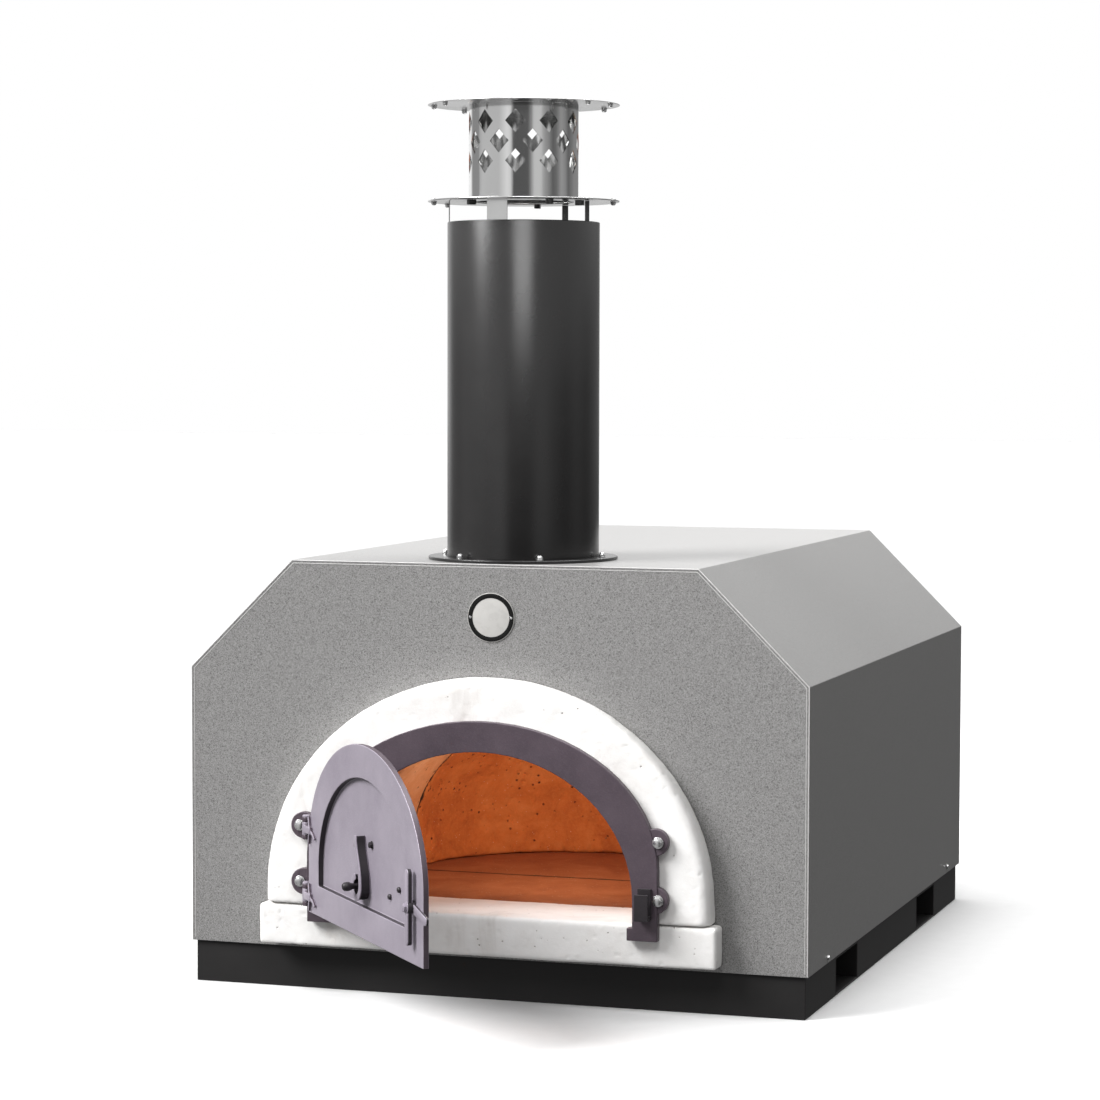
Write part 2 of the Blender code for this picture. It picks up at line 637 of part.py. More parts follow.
def make_hood():
    front = add("hood_front_panel", slab(hood_outline(0.0), FRONT, FRONT + SHEET), GREY_HOOD)
    around = VAULT_WALL + 0.0025
    mouth = arch(CHAMBER_HALF + around, BOARD_TOP - 0.0022, CHAMBER_SPRING, CHAMBER_APEX + around)
    cut(front, slab(mouth, FRONT - PAST, FRONT + PAST))
    section = hood_outline(0.0) + hood_outline(SHEET)[::-1]
    wrap = add("hood_wrap", slab(section, FRONT + SHEET + GAP, REAR - SHEET - GAP), GREY_HOOD)
    bore = circle(LINER_RADIUS + 0.003, centre=(0, FLUE_Y))
    cut(wrap, upright(bore, ROOF_TOP - PAST, ROOF_TOP + PAST))
    add("hood_rear_panel", slab(hood_outline(0.0), REAR - SHEET, REAR), GREY_HOOD)


def make_hood_trim():
    profile = [(0.0050, GAP), (0.0050, 0.0012), (0.0030, 0.0026)]
    for side, sign in (("left", -1), ("right", 1)):
        for place, (y, z) in zip(("front", "rear"), SCREW_PLACES):
            screw = turned(stud(profile, 14), Matrix.Rotation(sign * math.radians(90), 4, "Y"))
            add(f"hood_screw_{side}_{place}", screw, ZINC, place=(sign * HOOD_WIDTH / 2, y, z))
    profile = [(BADGE_RADIUS, GAP), (BADGE_RADIUS, 0.0010), (BADGE_RADIUS - 0.001, 0.0018)]
    badge = turned(stud(profile, ROUND), OUTWARD)
    add("badge_plate", badge, BADGE_PAINT, place=(0, FRONT, BADGE_Z), smooth=True)


# ---------------------------------------------------------------- chimney and cap
def make_chimney():
    axis = (0.0, FLUE_Y)
    base = ROOF_TOP + GAP
    top = base + FLANGE_THICK
    liner = tube(LINER_RADIUS, LINER_RADIUS - LINER_WALL, LINER_LOW, LINER_TOP, centre=axis)
    add("flue_liner", liner, STAINLESS, smooth=True)
    flange = tube(FLANGE_RADIUS, LINER_RADIUS + GAP, base, top, centre=axis)
    add("chimney_flange", flange, PIPE_BLACK, smooth=True)
    pipe = tube(PIPE_RADIUS, PIPE_RADIUS - PIPE_WALL, top + GAP, PIPE_TOP, centre=axis)
    add("chimney_pipe", pipe, PIPE_BLACK, smooth=True)
    profile = [(0.0046, GAP), (0.0046, 0.0030), (0.0036, 0.0052), (0.0016, 0.0066)]
    for index in range(6):
        turn = math.radians(60 * index)
        x = FLANGE_BOLT_CIRCLE * math.cos(turn)
        y = FLUE_Y + FLANGE_BOLT_CIRCLE * math.sin(turn)
        add(f"flange_bolt_{index + 1}", stud(profile, 10), ZINC, place=(x, y, top), smooth=True)


def make_legs():
    """Flat straps that stand against the pipe's inside and carry the cowl."""
    outer = PIPE_RADIUS - PIPE_WALL - GAP
    for index, (angle, width) in enumerate(LEGS):
        half = width / 2
        far = math.sqrt(outer ** 2 - half ** 2)
        strap = block((far - LEG_THICK, -half, LEG_LOW), (far, half, CAP_LOW - GAP))
        spin = Matrix.Rotation(math.radians(angle), 4, "Z")
        add(f"cap_leg_{index + 1}", turned(strap, spin), STAINLESS, place=(0, FLUE_Y, 0))


def make_basket():
    axis = (0, FLUE_Y, 0)
    wall = tube(BASKET_RADIUS, BASKET_RADIUS - BASKET_WALL, CAP_LOW + CAP_PLATE + GAP, CAP_HIGH - GAP, 36)
    basket = add("cap_basket", wall, STAINLESS, place=axis, smooth=True)
    half, rise = DIAMOND_WIDTH / 2, DIAMOND_HEIGHT / 2
    diamond = [(half, 0), (0, rise), (-half, 0), (0, -rise)]
    ends = (BASKET_RADIUS - 2 * PAST, BASKET_RADIUS + PAST)
    for height, first in DIAMOND_ROWS:
        for index in range(DIAMONDS_PER_ROW):
            hole = loft([[(x, y, height + z) for y, z in diamond] for x in ends])
            turned(hole, Matrix.Rotation(math.radians(first + 360 * index / DIAMONDS_PER_ROW), 4, "Z"))
            cut(basket, hole, place=axis)


def make_cap():
    lower = tube(CAP_RADIUS, CAP_HOLE, CAP_LOW, CAP_LOW + CAP_PLATE, centre=(0.0, FLUE_Y))
    add("cap_lower_plate", lower, STAINLESS, smooth=True)
    plate = stud([(CAP_RADIUS, CAP_HIGH), (CAP_RADIUS, CAP_HIGH + CAP_PLATE)], ROUND)
    add("cap_top_plate", plate, STAINLESS, place=(0, FLUE_Y, 0), smooth=True)


make_base()
make_fork_tunnel("fork_tunnel_front", -FORK_CENTRE_Y)
make_fork_tunnel("fork_tunnel_rear", FORK_CENTRE_Y)
make_floor()
make_chamber()
make_arch_surround()
make_door_frame()
make_frame_bolts()
make_hinge_pins()
make_keeper()
make_door_set()
make_hood()
make_hood_trim()
make_chimney()
make_legs()
make_basket()
make_cap()
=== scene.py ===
"""Looks of the wood fired oven: finer pieces, materials, floor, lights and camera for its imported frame."""
import json
import math

import bmesh
import bpy
from mathutils import Matrix, Vector, geometry, noise


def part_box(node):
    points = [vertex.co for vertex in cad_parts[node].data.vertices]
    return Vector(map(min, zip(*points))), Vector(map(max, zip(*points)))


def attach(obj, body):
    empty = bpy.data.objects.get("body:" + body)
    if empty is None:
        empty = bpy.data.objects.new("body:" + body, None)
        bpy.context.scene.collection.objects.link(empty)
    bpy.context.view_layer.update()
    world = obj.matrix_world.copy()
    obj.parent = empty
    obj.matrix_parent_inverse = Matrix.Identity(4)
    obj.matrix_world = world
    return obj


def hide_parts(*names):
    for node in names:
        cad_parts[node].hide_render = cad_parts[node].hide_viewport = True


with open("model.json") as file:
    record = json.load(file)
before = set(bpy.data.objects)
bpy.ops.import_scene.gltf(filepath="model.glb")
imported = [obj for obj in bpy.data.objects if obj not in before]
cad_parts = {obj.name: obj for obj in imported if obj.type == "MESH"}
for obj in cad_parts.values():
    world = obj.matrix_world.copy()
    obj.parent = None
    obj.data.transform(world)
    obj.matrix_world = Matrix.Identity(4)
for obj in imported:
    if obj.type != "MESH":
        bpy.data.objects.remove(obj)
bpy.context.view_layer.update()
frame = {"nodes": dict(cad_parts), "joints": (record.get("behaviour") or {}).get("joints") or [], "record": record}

NODES = frame["nodes"]
BODY = {node: body for body, nodes in frame["record"]["behaviour"]["bodies"].items() for node in nodes}
HINGE = next(joint for joint in frame["joints"] if joint["child"] == "door")
PIN = Vector(HINGE["pos_m"])
DOOR_TURN = Matrix.Rotation(-math.radians(HINGE["range_deg"][1]), 4, "Z")
DOOR_PLACE = Matrix.Translation(Vector((PIN.x, PIN.y, 0))) @ DOOR_TURN      # the door's own frame at rest
DOOR_OUTWARDS = DOOR_PLACE.to_3x3() @ Vector((0, -1, 0))
VAULT_MOUTH, VAULT_JOINT = (corner.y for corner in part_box("vault_front"))   # the front casting's two ends
HARD_EDGE = math.radians(32)                 # a sharper edge than this is rounded off
Z_TO_MINUS_Y = Matrix.Rotation(math.radians(90), 4, "X")


def middle(node):
    low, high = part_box(node)
    return (low + high) / 2


# ---------------------------------------------------------------- procedural materials
class Graph:
    """A node tree under construction, with a short call for each kind of node."""

    def __init__(self, tree):
        self.tree = tree

    def add(self, kind, **settings):
        node = self.tree.nodes.new(kind)
        for key, value in settings.items():
            setattr(node, key, value)
        return node

    def feed(self, socket, value):
        """Link another node's output, or set a constant on the socket itself."""
        if hasattr(value, "is_output"):
            self.tree.links.new(value, socket)
        elif isinstance(value, tuple) and len(value) == 3 and socket.type == "RGBA":
            socket.default_value = (*value, 1.0)
        else:
            socket.default_value = value

    def component(self, vector, axis):
        node = self.add("ShaderNodeSeparateXYZ")
        self.feed(node.inputs[0], vector)
        return node.outputs[axis]

    def ramp(self, value, *stops):
        """Colours or plain tones at places between 0 and 1."""
        node = self.add("ShaderNodeValToRGB")
        self.feed(node.inputs["Fac"], value)
        elements = node.color_ramp.elements
        while len(elements) < len(stops):
            elements.new(0.5)
        for element, (place, colour) in zip(elements, stops):
            element.position = place
            element.color = (*colour, 1.0) if isinstance(colour, tuple) else (colour, colour, colour, 1.0)
        return node.outputs["Color"]

    def mix(self, factor, first, second):
        node = self.add("ShaderNodeMix", data_type="RGBA")
        self.feed(node.inputs["Factor"], factor)
        self.feed(node.inputs[6], first)
        self.feed(node.inputs[7], second)
        return node.outputs[2]

    def maths(self, operation, first, second=0.0):
        node = self.add("ShaderNodeMath", operation=operation)
        self.feed(node.inputs[0], first)
        self.feed(node.inputs[1], second)
        return node.outputs[0]

    def fit(self, value, low, high, start=0.0, end=1.0):
        """Spread a value that runs from start to end between two other numbers."""
        node = self.add("ShaderNodeMapRange")
        self.feed(node.inputs["Value"], value)
        node.inputs["From Min"].default_value = start
        node.inputs["From Max"].default_value = end
        node.inputs["To Min"].default_value = low
        node.inputs["To Max"].default_value = high
        return node.outputs["Result"]


class Surface(Graph):
    """A material under construction: a principled shader and the nodes that feed it, with metres as unit."""

    def __init__(self, name, metallic=0.0, coat=0.0, gloss=0.5):
        self.made = bpy.data.materials.new(name)
        self.made.use_nodes = True
        super().__init__(self.made.node_tree)
        self.shader = self.tree.nodes["Principled BSDF"]
        self.shader.inputs["Metallic"].default_value = metallic
        self.shader.inputs["Coat Weight"].default_value = coat
        self.shader.inputs["Specular IOR Level"].default_value = gloss
        self.where = self.add("ShaderNodeTexCoord").outputs["Object"]
        self.normal = None

    def stretched(self, x, y, z):
        node = self.add("ShaderNodeMapping")
        self.feed(node.inputs["Vector"], self.where)
        node.inputs["Scale"].default_value = (x, y, z)
        return node.outputs["Vector"]

    def noise(self, scale, detail=3.0, roughness=0.55, distortion=0.0, where=None):
        node = self.add("ShaderNodeTexNoise")
        self.feed(node.inputs["Vector"], where or self.where)
        node.inputs["Scale"].default_value = scale
        node.inputs["Detail"].default_value = detail
        node.inputs["Roughness"].default_value = roughness
        node.inputs["Distortion"].default_value = distortion
        return node.outputs["Fac"]

    def cells(self, scale):
        node = self.add("ShaderNodeTexVoronoi")
        self.feed(node.inputs["Vector"], self.where)
        node.inputs["Scale"].default_value = scale
        return node.outputs["Distance"]

    def spots(self, scale, core, rim, strength=1.0):
        """Round spots of this strength, one in each cell, between two distances from its heart."""
        return self.ramp(self.cells(scale), (core, strength), (rim, 0.0))

    def beside_joint(self, reach):
        """1 in the joint between the two vault castings, fading to 0 at this ragged distance from it."""
        depth = self.component(self.where, "Y")
        away = self.maths("ABSOLUTE", self.maths("SUBTRACT", depth, VAULT_JOINT))
        ragged = self.maths("MULTIPLY", away, self.fit(self.noise(70, 2.0), 0.2, 1.8))
        return self.ramp(self.maths("DIVIDE", ragged, reach), (0.5, 1.0), (1.0, 0.0))

    def soot_and_shade_behind_mouth(self, whole, end):
        """1 on the clay just behind the mouth, where it is sooted and painted shade falls, fading to 0 between two
        depths.
        """
        depth = self.maths("SUBTRACT", self.component(self.where, "Y"), VAULT_MOUTH)
        ragged = self.maths("ADD", depth, self.fit(self.noise(30, 3.0), -0.008, 0.008))
        return self.ramp(self.maths("DIVIDE", ragged, end), (whole / end, 1.0), (1.0, 0.0))

    def bump(self, value, distance, strength=1.0):
        node = self.add("ShaderNodeBump")
        self.feed(node.inputs["Height"], value)
        node.inputs["Distance"].default_value = distance
        node.inputs["Strength"].default_value = strength
        if self.normal:
            self.feed(node.inputs["Normal"], self.normal)
        self.normal = node.outputs["Normal"]

    def finished(self, colour, roughness):
        self.feed(self.shader.inputs["Base Color"], colour)
        self.feed(self.shader.inputs["Roughness"], roughness)
        if self.normal:
            self.feed(self.shader.inputs["Normal"], self.normal)
        return self.made


def vein_paint(name, contrast, mid=0.225):
    """Silver-grey hammered powder coat: pale veins round small darker islands."""
    s = Surface(name)
    vein = s.maths("ABSOLUTE", s.maths("SUBTRACT", s.noise(470, 2.0, 0.5, 0.6), 0.5))
    fine = s.noise(900, 2.0)
    broad = s.noise(2.2, 3.0)
    low, high = mid * (1 - contrast), mid * (1 + contrast)
    pale, even = (high, high * 0.99, high * 0.98), (mid, mid * 0.985, mid * 0.97)
    dark = (low, low * 0.985, low * 0.975)
    colour = s.ramp(vein, (0.01, pale), (0.055, even), (0.20, dark))
    glint, wash = (0.34, 0.335, 0.33), (0.30, 0.29, 0.285)
    colour = s.mix(s.fit(fine, 0.0, 0.25), colour, glint)
    colour = s.mix(s.fit(broad, 0.0, 0.10), colour, wash)
    s.bump(s.maths("MULTIPLY", vein, -3.0), 0.0005, 0.4)
    return s.finished(colour, s.fit(vein, 0.32, 0.52))


def powder_black(name, tone, rough, gloss):
    """Satin black powder coat with its fine orange peel."""
    s = Surface(name, gloss=gloss)
    peel = s.noise(650, 2.0)
    cloud = s.noise(7, 4.0)
    dark, pale = (tone, tone * 0.96, tone * 0.97), (tone * 1.5, tone * 1.42, tone * 1.42)
    s.bump(peel, 0.0003, 0.35)
    return s.finished(s.ramp(cloud, (0.3, dark), (0.75, pale)), s.fit(cloud, rough - 0.06, rough + 0.08))


def cast_white():
    """Off-white cast refractory: faint grey washes, small pits, a chalky surface."""
    s = Surface("cast_white")
    wash = s.noise(9, 5.0, 0.6, 1.2, s.stretched(1.0, 1.0, 0.45))
    grain = s.noise(240, 4.0, 0.7)
    blot = s.noise(28, 4.0, 0.65)
    rare = s.noise(33, 2.0)
    grey, pale, white = (0.72, 0.69, 0.66), (0.91, 0.895, 0.875), (0.95, 0.94, 0.925)
    stain, pit_shade = (0.76, 0.73, 0.70), (0.40, 0.36, 0.33)
    colour = s.ramp(wash, (0.26, grey), (0.44, pale), (0.60, white))
    colour = s.mix(s.ramp(blot, (0.55, 0.0), (0.72, 0.35)), colour, stain)
    # The pits are painted darker, painted shade in their hollows; the bump below gives their dip.
    pit = s.maths("MULTIPLY", s.spots(95, 0.05, 0.16), s.ramp(rare, (0.56, 0.0), (0.62, 1.0)))
    colour = s.mix(pit, colour, pit_shade)
    s.bump(grain, 0.0006, 0.5)
    s.bump(s.maths("MULTIPLY", pit, -1.0), 0.0012, 0.9)
    s.bump(blot, 0.0010, 0.35)
    return s.finished(colour, s.fit(grain, 0.72, 0.92))


def fired_clay(name, dark, mid, pale, pits):
    """Porous fired clay: mottled, with dark pores and pale specks, sooted near the mouth and at the joint, with
    painted shade behind the mouth.
    """
    s = Surface(name)
    cloud = s.noise(14, 5.0, 0.62, 0.5)
    grain = s.noise(210, 5.0, 0.7)
    rare = s.noise(45, 2.0)
    lots = s.noise(60, 2.0)
    pit_shade = (dark[0] * 0.12, dark[1] * 0.12, dark[2] * 0.20)
    mouth_soot_and_shade, gap, grog = (0.050, 0.026, 0.014), (0.020, 0.010, 0.006), (0.80, 0.62, 0.42)
    colour = s.ramp(cloud, (0.30, dark), (0.50, mid), (0.72, pale))
    colour = s.mix(s.ramp(grain, (0.45, 0.0), (0.75, 0.45)), colour, pale)
    crumbled = s.maths("MULTIPLY", s.beside_joint(0.016), pits)
    many = s.maths("MAXIMUM", s.ramp(rare, (0.50, 0.0), (0.57, pits)), crumbled)
    # The pores are painted near black, painted shade in their hollows; a bump below gives their dip.
    pore = s.maths("MULTIPLY", s.spots(95, 0.09, 0.24), many)
    colour = s.mix(pore, colour, pit_shade)
    # Painted shade darkens the clay just behind the mouth, where it is also sooted.
    colour = s.mix(s.soot_and_shade_behind_mouth(0.030, 0.055), colour, mouth_soot_and_shade)
    colour = s.mix(s.beside_joint(0.0048), colour, gap)
    speck = s.maths("MULTIPLY", s.spots(210, 0.08, 0.18, 0.8), s.ramp(lots, (0.55, 0.0), (0.6, 1.0)))
    colour = s.mix(speck, colour, grog)
    s.bump(grain, 0.0009, 0.6)
    s.bump(s.maths("MULTIPLY", pore, -1.0), 0.0016, 1.0)
    return s.finished(colour, s.fit(grain, 0.78, 0.95))


def cast_iron(name, low, high, rough, metallic):
    """Painted sand casting: a fine grain, cloudy tone."""
    s = Surface(name, metallic=metallic)
    grain = s.noise(420, 3.0, 0.65)
    cloud = s.noise(16, 4.0, 0.6)
    glint = tuple(1.35 * part for part in high)
    colour = s.ramp(cloud, (0.30, low), (0.70, high))
    colour = s.mix(s.ramp(grain, (0.5, 0.0), (0.8, 0.35)), colour, glint)
    s.bump(grain, 0.0005, 0.5)
    s.bump(cloud, 0.0012, 0.25)
    return s.finished(colour, s.fit(grain, rough - 0.05, rough + 0.12))


def zinc_plate():
    """Bright zinc on the small fasteners."""
    s = Surface("zinc_plate", metallic=1.0)
    cloud = s.noise(180, 4.0, 0.6)
    dull, bright = (0.55, 0.55, 0.56), (0.80, 0.80, 0.79)
    s.bump(cloud, 0.0002, 0.4)
    return s.finished(s.ramp(cloud, (0.3, dull), (0.7, bright)), s.fit(cloud, 0.20, 0.36))


def polished_steel(name, low, high, rough):
    """Stainless sheet: long soft waves from rolling and fine brush lines."""
    s = Surface(name, metallic=1.0)
    wave = s.noise(9, 2.0, 0.4, 0.6, s.stretched(1.0, 1.0, 0.35))
    lines = s.noise(900, 2.0, 0.5, 0.0, s.stretched(1.0, 1.0, 0.02))
    s.bump(wave, 0.0035, 0.55)
    s.bump(lines, 0.00006, 0.4)
    colour = s.ramp(wave, (0.30, (low, low, low * 0.99)), (0.70, (high, high, high)))
    return s.finished(colour, s.fit(lines, rough, rough + 0.07))


def fibre():
    """White ceramic wool of the hidden insulation."""
    s = Surface("ceramic_fibre")
    tuft = s.noise(90, 5.0, 0.7, 0.8)
    fine = s.noise(700, 3.0)
    shade, white = (0.66, 0.63, 0.57), (0.84, 0.82, 0.77)
    s.bump(tuft, 0.004, 0.8)
    s.bump(fine, 0.0008, 0.6)
    return s.finished(s.ramp(tuft, (0.35, shade), (0.65, white)), s.fit(fine, 0.86, 0.98))


def enamel(name, tone, coat):
    """Smooth enamel in one tone."""
    s = Surface(name, coat=coat, gloss=0.25)
    cloud = s.noise(70, 3.0)
    shade = tuple(0.92 * part for part in tone)
    s.bump(cloud, 0.0002, 0.3)
    return s.finished(s.ramp(cloud, (0.3, shade), (0.7, tone)), s.fit(cloud, 0.22, 0.34))


HOOD_FRONT = vein_paint("hood_vein_paint", contrast=0.60)
HOOD_SIDES = vein_paint("hood_vein_paint_sides", contrast=0.16)
# A pale copy of the hood paint on the edge beads: a painted highlight along the folded edges.
BEAD_HIGHLIGHT = vein_paint("hood_edge_painted_highlight", contrast=0.10, mid=0.62)
BASE_BLACK = powder_black("base_powder_black", tone=0.014, rough=0.50, gloss=0.25)
PIPE_BLACK = powder_black("pipe_satin_black", tone=0.012, rough=0.23, gloss=0.5)
STONE = cast_white()
CLAY_FRONT = fired_clay("clay_pale", (0.56, 0.26, 0.12), (0.70, 0.38, 0.20), (0.80, 0.50, 0.30), pits=0.9)
CLAY_REAR = fired_clay("clay_deep", (0.42, 0.115, 0.028), (0.58, 0.185, 0.045), (0.70, 0.28, 0.09), pits=1.0)
# Near-black clay for the inner faces of the arch surround: sooted, with painted shade.
SOOT_AND_SHADE = fired_clay("clay_sooted_and_shaded", (0.030, 0.018, 0.012), (0.060, 0.034, 0.020), (0.10, 0.055, 0.030), pits=0.5)
CLAY_HEARTH = fired_clay("clay_hearth", (0.24, 0.078, 0.030), (0.31, 0.108, 0.042), (0.38, 0.15, 0.068),
                         pits=0.15)
IRON_DARK = cast_iron("iron_frame", (0.070, 0.052, 0.066), (0.105, 0.080, 0.098), rough=0.42, metallic=0.25)
IRON_LIGHT = cast_iron("iron_door", (0.325, 0.29, 0.345), (0.40, 0.36, 0.42), rough=0.42, metallic=0.35)
IRON_BLACK = cast_iron("iron_black", (0.020, 0.017, 0.020), (0.034, 0.029, 0.033), rough=0.40, metallic=0.3)
ZINC = zinc_plate()
MIRROR = polished_steel("stainless_polished", 0.66, 0.80, rough=0.06)
STEEL = polished_steel("stainless_plate", 0.60, 0.76, rough=0.16)
STEEL_DARK = polished_steel("stainless_shaded", 0.10, 0.16, rough=0.30)
FIBRE = fibre()
BADGE_PALE = enamel("badge_pale", (0.56, 0.55, 0.53), coat=0.4)
BADGE_RING = enamel("badge_ring", (0.006, 0.006, 0.006), coat=0.0)


# ---------------------------------------------------------------- mesh helpers
def moved(bm, matrix):
    bmesh.ops.transform(bm, matrix=matrix, verts=bm.verts)
    return bm


def new_piece(name, bm, smooth=35.0, matrix=None):
    """An object from a bmesh, shaded smooth but for edges sharper than this many degrees."""
    if matrix:
        moved(bm, matrix)
    bmesh.ops.recalc_face_normals(bm, faces=bm.faces)
    mesh = bpy.data.meshes.new(name)
    bm.to_mesh(mesh)
    bm.free()
    mesh.shade_smooth()
    mesh.set_sharp_from_angle(angle=math.radians(smooth))
    piece = bpy.data.objects.new(name, mesh)
    bpy.context.scene.collection.objects.link(piece)
    return piece


def trim(piece, finish, body):
    """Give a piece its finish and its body."""
    piece.data.materials.clear()
    piece.data.materials.append(finish)
    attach(piece, body)
    return piece


def stand_in(piece, finish, node):
    """The piece is shown in place of a CAD node, on the node's body."""
    trim(piece, finish, BODY[node])
    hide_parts(node)
    return piece


def show(node, finish, bm, place=None):
    """Show a mesh in place of a CAD node."""
    return stand_in(new_piece(node + "_shape", bm, matrix=place), finish, node)


def welded(node):
    """The CAD node's mesh with its split corners joined."""
    bm = bmesh.new()
    bm.from_mesh(NODES[node].data)
    bmesh.ops.remove_doubles(bm, verts=bm.verts, dist=0.00001)
    return bm


def soften(bm, width, segments=2):
    """Round off the hard edges."""
    bm.normal_update()
    hard = [edge for edge in bm.edges if len(edge.link_faces) == 2 and edge.calc_face_angle() > HARD_EDGE]
    bmesh.ops.bevel(bm, geom=hard, offset=width, segments=segments, profile=0.5, affect="EDGES")
    return bm


def refined(node, finish, width, segments=2):
    """Show a CAD node with its hard edges rounded off."""
    piece = show(node, finish, soften(welded(node), width, segments))
    piece.modifiers.new("even_normals", "WEIGHTED_NORMAL").keep_sharp = True
    return piece


def cast(node, finish, voxel, rounds, swell, pit, seed):
    """Show a CAD node as a rough casting: soft corners, slow swells and small pits."""
    swells_per_metre, pits_per_metre, pit_threshold = 22, 130, 0.42
    source = bpy.data.objects.new("casting", NODES[node].data.copy())
    bpy.context.scene.collection.objects.link(source)
    change = source.modifiers.new("voxels", "REMESH")
    change.mode = "VOXEL"
    change.voxel_size = voxel
    evaluated = source.evaluated_get(bpy.context.evaluated_depsgraph_get())
    mesh = bpy.data.meshes.new_from_object(evaluated)
    bpy.data.objects.remove(source)
    bm = bmesh.new()
    bm.from_mesh(mesh)
    every_axis = {"use_axis_x": True, "use_axis_y": True, "use_axis_z": True}
    for _ in range(rounds):
        bmesh.ops.smooth_vert(bm, verts=bm.verts, factor=0.5, **every_axis)
    bm.normal_update()
    shift = Vector((seed, 0.0, 0.0))
    for vert in bm.verts:
        wave = noise.fractal(vert.co * swells_per_metre + shift, 1.0, 2.0, 3)
        hole = max(0.0, noise.noise(vert.co * pits_per_metre + shift) - pit_threshold)
        vert.co += vert.normal * (swell * wave - pit * hole)
    return stand_in(new_piece(node + "_shape", bm, smooth=60.0), finish, node)


def darken(piece, finish, chosen):
    """Give the faces that pass a test a darker finish."""
    piece.data.materials.append(finish)
    index = len(piece.data.materials) - 1
    for face in piece.data.polygons:
        if chosen(face):
            face.material_index = index


def lathe(profile, count, axis=(0, 0)):
    """A closed turned solid from (radius, z) pairs that run round its section; radius 0 ends close it."""
    bm = bmesh.new()
    rows = []
    for radius, z in profile:
        if radius == 0:
            rows.append([bm.verts.new((axis[0], axis[1], z))])
            continue
        turns = [2 * math.pi * i / count for i in range(count)]
        rows.append([bm.verts.new((axis[0] + radius * math.cos(turn), axis[1] + radius * math.sin(turn), z))
                     for turn in turns])
    solid = profile[0][0] == 0
    pairs = list(zip(rows, rows[1:] if solid else rows[1:] + rows[:1]))
    for lower, upper in pairs:
        for i in range(count):
            j = (i + 1) % count
            if len(lower) == 1:
                bm.faces.new((lower[0], upper[i], upper[j]))
            elif len(upper) == 1:
                bm.faces.new((lower[i], lower[j], upper[0]))
            else:
                bm.faces.new((lower[i], lower[j], upper[j], upper[i]))
    return bm


def rounded(corners, soft):
    """Points round the corners of a section, given as the arc's centre (radius, z) and first heading."""
    points = []
    for radius, z, heading in corners:
        for step in range(4):
            angle = math.radians(heading + 30 * step)
            points.append((radius + soft * math.cos(angle), z + soft * math.sin(angle)))
    return points


def rounded_ring(inner, outer, low, high, soft):
    """Section of a flat ring with softened corners."""
    inner, outer, low, high = inner + soft, outer - soft, low + soft, high - soft
    return rounded(((outer, low, 270), (outer, high, 0), (inner, high, 90), (inner, low, 180)), soft)


def rounded_disc(radius, low, high, soft):
    """Half the section of a disc with softened corners, from its axis round to its axis."""
    corners = ((radius - soft, low + soft, 270), (radius - soft, high - soft, 0))
    return [(0, low)] + rounded(corners, soft) + [(0, high)]


def prism(outline, low, high):
    """A solid that stands on an (x, y) outline, between two heights."""
    bm = bmesh.new()
    rows = [[bm.verts.new((x, y, z)) for x, y in outline] for z in (low, high)]
    count = len(outline)
    for i in range(count):
        j = (i + 1) % count
        bm.faces.new((rows[0][i], rows[0][j], rows[1][j], rows[1][i]))
    bm.faces.new(rows[0][::-1])
    bm.faces.new(rows[1])
    return bm


def merged(first, *others):
    """One bmesh from several closed bodies."""
    for other in others:
        mesh = bpy.data.meshes.new("part")
        other.to_mesh(mesh)
        other.free()
        first.from_mesh(mesh)
        bpy.data.meshes.remove(mesh)
    return first


def hexagon(across, turn):
    radius = across / math.sqrt(3)
    corners = [math.radians(60 * i + turn) for i in range(6)]
    return [(radius * math.cos(a), radius * math.sin(a)) for a in corners]


def hex_head(across, height, washer, thick, dome=0.0, turn=0.0):
    """A washer, a hexagon head on it and, on an acorn nut, its dome. It stands on z = 0."""
    ring = lathe(rounded_disc(washer, 0.0, thick, 0.3 * thick), 28)
    top = thick + height
    head = soften(prism(hexagon(across, turn), thick, top), 0.12 * height)
    if not dome:
        return merged(ring, head)
    radius, sunk = 0.46 * across, 0.0004
    curve = [(0, top - sunk), (radius, top - sunk)]
    for degrees in (18, 36, 54, 72):
        angle = math.radians(degrees)
        curve.append((radius * math.cos(angle), top + dome * math.sin(angle)))
    curve.append((0, top + dome))
    return merged(ring, head, lathe(curve, 20))


def facing(direction):
    """Rotation that turns +Z to a direction."""
    return Vector((0, 0, 1)).rotation_difference(Vector(direction)).to_matrix().to_4x4()


def standing_at(point, direction=(0, 0, 1)):
    """Puts a mesh that stands on z = 0 at a point, with its top in this direction."""
    return Matrix.Translation(point) @ facing(direction)


def half_width(node):
    low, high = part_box(node)
    return (high.x - low.x) / 2


# ---------------------------------------------------------------- pieces of the base and hood
HOOD_SCREW = {"across": 0.0068, "height": 0.0015, "washer": 0.0050, "thick": 0.0006}
BEADS = (("hood_bead_outer", 0.0002, 0.0016), ("hood_bead_inner", 0.0042, 0.0011))    # name, inset, width


def make_base_and_hood():
    refined("base_frame", BASE_BLACK, 0.0008)
    refined("fork_tunnel_front", BASE_BLACK, 0.0006)
    refined("fork_tunnel_rear", BASE_BLACK, 0.0006)
    refined("hood_front_panel", HOOD_FRONT, 0.0008)
    make_edge_beads()
    refined("hood_wrap", HOOD_SIDES, 0.0009)
    refined("hood_rear_panel", HOOD_SIDES, 0.0008)


def shrunk(outline, inset):
    """A convex outline with every side moved inwards by the same distance."""
    centre = sum(outline, Vector((0, 0))) / len(outline)
    lines = []
    for start, end in zip(outline, outline[1:] + outline[:1]):
        along = (end - start).normalized()
        inwards = Vector((-along.y, along.x))
        if inwards.dot(centre - start) < 0:
            inwards.negate()
        lines.append((start + inwards * inset, along))
    corners = []
    for (first, a), (second, b) in zip(lines[-1:] + lines[:-1], lines):
        step = second - first
        corners.append(first + a * ((step.x * b.y - step.y * b.x) / (a.x * b.y - a.y * b.x)))
    return corners


